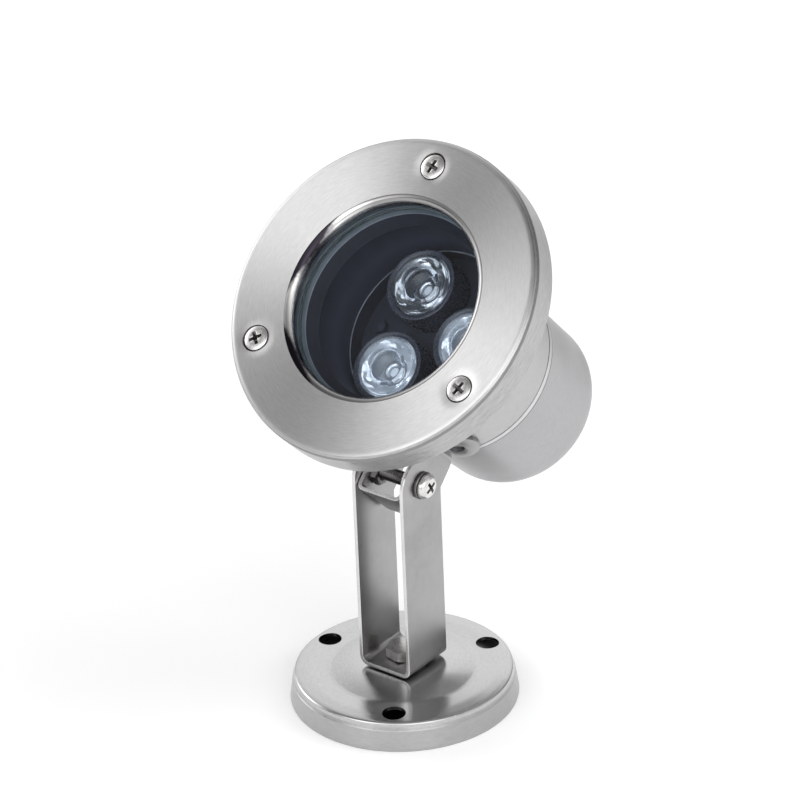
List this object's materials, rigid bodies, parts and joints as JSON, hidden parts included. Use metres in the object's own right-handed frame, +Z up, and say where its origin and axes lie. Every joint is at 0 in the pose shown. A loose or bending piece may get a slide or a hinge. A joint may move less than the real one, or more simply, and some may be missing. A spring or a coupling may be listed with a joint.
{
  "type": "underwater pond light",
  "caption": "Stainless-steel underwater spotlight: a round lamp with a screwed face ring and LED lenses, held by a tilting yoke on a round base.",
  "frame": {"origin": "centre of the base's underside, on the swivel axis", "axes": "+Z up, the lamp aims towards -Y and up, the tilt axis lies along X"},
  "size_m": [0.11, 0.1283, 0.1868],
  "materials": {
    "base": "pressed stainless steel, polished so that the top mirrors the yoke",
    "yoke": "satin stainless strip",
    "ring": "stainless steel, satin on the face with a polished inner lip",
    "housing": "satin stainless steel tube",
    "fasteners": "plain bright stainless steel",
    "glass": "clear toughened glass",
    "lenses": "clear moulded acrylic",
    "optic_holders": "black moulded plastic",
    "leds": "yellow phosphor under clear silicone",
    "led_board": "black solder mask",
    "driver_board": "green solder mask",
    "driver_parts": "black",
    "heat_sink": "turned",
    "pillars": "plain",
    "seals": "grey silicone",
    "gland_rubber": "black"
  },
  "bodies": {
    "base": {"base_plate": "base", "foot_washer": "fasteners", "swivel_bolt": "fasteners", "swivel_lock_washer": "fasteners", "swivel_nut": "fasteners"},
    "yoke": {"yoke_bracket": "yoke", "pivot_screw": "fasteners", "pivot_lock_washer": "fasteners", "pivot_nut": "fasteners", "pivot_jam_nut": "fasteners"},
    "head": {"face_ring": "ring", "face_screw_1": "fasteners", "face_screw_2": "fasteners", "face_screw_3": "fasteners", "flange_nut_1": "fasteners", "flange_nut_2": "fasteners", "flange_nut_3": "fasteners", "front_glass": "glass", "front_seal": "seals", "rear_seal": "seals", "housing_sleeve": "housing", "rear_cup": "housing", "head_bracket": "yoke", "lens_holder_1": "optic_holders", "lens_holder_2": "optic_holders", "lens_holder_3": "optic_holders", "lens_1": "lenses", "lens_2": "lenses", "lens_3": "lenses", "led_1": "leds", "led_2": "leds", "led_3": "leds", "spacer_ring": "optic_holders", "led_board": "led_board", "heat_sink": "heat_sink", "board_screw_1": "fasteners", "board_screw_2": "fasteners", "board_screw_3": "fasteners", "driver_board": "driver_board", "driver_pillar_1": "pillars", "driver_pillar_2": "pillars", "driver_coil": "driver_parts", "driver_capacitor": "driver_parts", "gland_lock_nut": "fasteners", "gland_washer": "gland_rubber", "gland_body": "fasteners", "gland_seal": "gland_rubber", "gland_cap_nut": "fasteners"}
  },
  "joints": [
    {"name": "yoke_swivel", "type": "hinge", "parent": "base", "child": "yoke", "pos_m": [0, 0, 0.0132], "axis": [0, 0, 1], "continuous": true},
    {"name": "head_tilt", "type": "hinge", "parent": "yoke", "child": "head", "pos_m": [0, 0, 0.0817], "axis": [-1, 0, 0], "range_deg": [-100, 45]}
  ]
}
